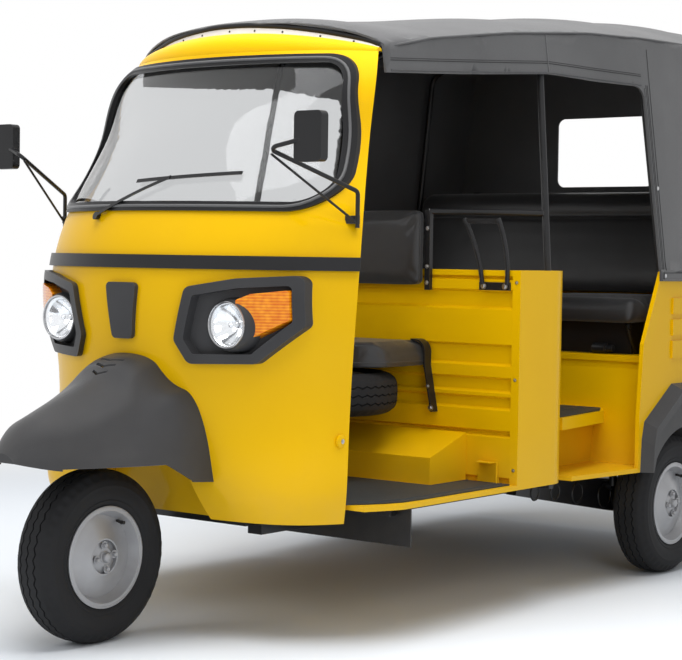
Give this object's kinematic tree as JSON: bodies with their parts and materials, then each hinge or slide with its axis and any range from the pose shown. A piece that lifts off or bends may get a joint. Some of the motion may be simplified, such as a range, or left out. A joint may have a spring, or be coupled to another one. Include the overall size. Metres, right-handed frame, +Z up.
{
  "type": "auto rickshaw",
  "caption": "Three-wheeled passenger auto rickshaw: curved front shell, open cab, fabric hood over a rear bench, single steered front wheel.",
  "frame": {"origin": "middle of the bounding box, on the ground", "axes": "+Y runs to the rear along the length, -Y is forward, +X is the vehicle's left side, +Z is up"},
  "size_m": [1.475, 3.1, 1.9449],
  "materials": {
    "body_yellow": "gloss enamel",
    "rubber_black": "satin extruded rubber",
    "clear_glass": "clear curved sheet",
    "plastic_dark": "grained moulded plastic",
    "plastic_black": "satin moulded plastic",
    "lamp_glass": "clear lens over a bright reflector",
    "amber_lens": "ribbed amber lens",
    "red_lens": "ribbed red lens",
    "hood_vinyl": "coated cloth with a fine grain",
    "frame_black": "satin black paint",
    "seat_vinyl": "grained vinyl over foam",
    "tyre_rubber": "ribbed tread",
    "rim_silver": "silver paint",
    "cast_metal": "rough casting"
  },
  "bodies": {
    "frame": {"front_shell": "body_yellow", "windscreen_gasket": "rubber_black", "windscreen": "clear_glass", "wheel_well": "body_yellow", "front_mudguard": "plastic_dark", "lamp_bezels": "plastic_dark", "headlamps": "lamp_glass", "front_indicators": "amber_lens", "front_moulding": "plastic_black", "wiper": "frame_black", "roof_header": "body_yellow", "hood": "hood_vinyl", "hood_frame": "frame_black", "cab_floor": "body_yellow", "passenger_floor": "body_yellow", "partition": "body_yellow", "corner_columns": "body_yellow", "rear_tub": "body_yellow", "arch_flares": "plastic_dark", "seat_frame": "frame_black", "cab_steelwork": "frame_black", "spare_tyre": "tyre_rubber", "spare_rim": "rim_silver", "mud_flap": "rubber_black", "tail_lamps": "red_lens", "silencer": "cast_metal", "passenger_cushion": "seat_vinyl", "passenger_backrest": "seat_vinyl", "driver_seat": "seat_vinyl", "driver_backrest": "seat_vinyl", "chassis": "frame_black", "rear_suspension": "frame_black", "engine_block": "cast_metal", "door_hinges": "frame_black", "mirror_arms": "frame_black", "mirror_heads": "plastic_black"},
    "steering": {"front_fork": "frame_black", "handlebar": "frame_black", "headset": "plastic_dark"},
    "front_wheel": {"front_tyre": "tyre_rubber", "front_rim": "rim_silver"},
    "left_wheel": {"left_tyre": "tyre_rubber", "left_rim": "rim_silver"},
    "right_wheel": {"right_tyre": "tyre_rubber", "right_rim": "rim_silver"},
    "rear_door": {"engine_door": "body_yellow"}
  },
  "joints": [
    {"name": "steer", "type": "hinge", "parent": "frame", "child": "steering", "pos_m": [0, -1.02536, 0.6], "axis": [0, 0.4384, 0.8988], "range_deg": [-40, 40]},
    {"name": "front_spin", "type": "hinge", "parent": "steering", "child": "front_wheel", "pos_m": [0, -1.223, 0.2375], "axis": [1, 0, 0], "continuous": true},
    {"name": "left_spin", "type": "hinge", "parent": "frame", "child": "left_wheel", "pos_m": [0.6065, 0.877, 0.2375], "axis": [1, 0, 0], "continuous": true},
    {"name": "right_spin", "type": "hinge", "parent": "frame", "child": "right_wheel", "pos_m": [-0.6065, 0.877, 0.2375], "axis": [1, 0, 0], "continuous": true},
    {"name": "door_hinge", "type": "hinge", "parent": "frame", "child": "rear_door", "pos_m": [0, 1.53, 0.88275], "axis": [1, 0, 0], "range_deg": [0, 75]}
  ]
}
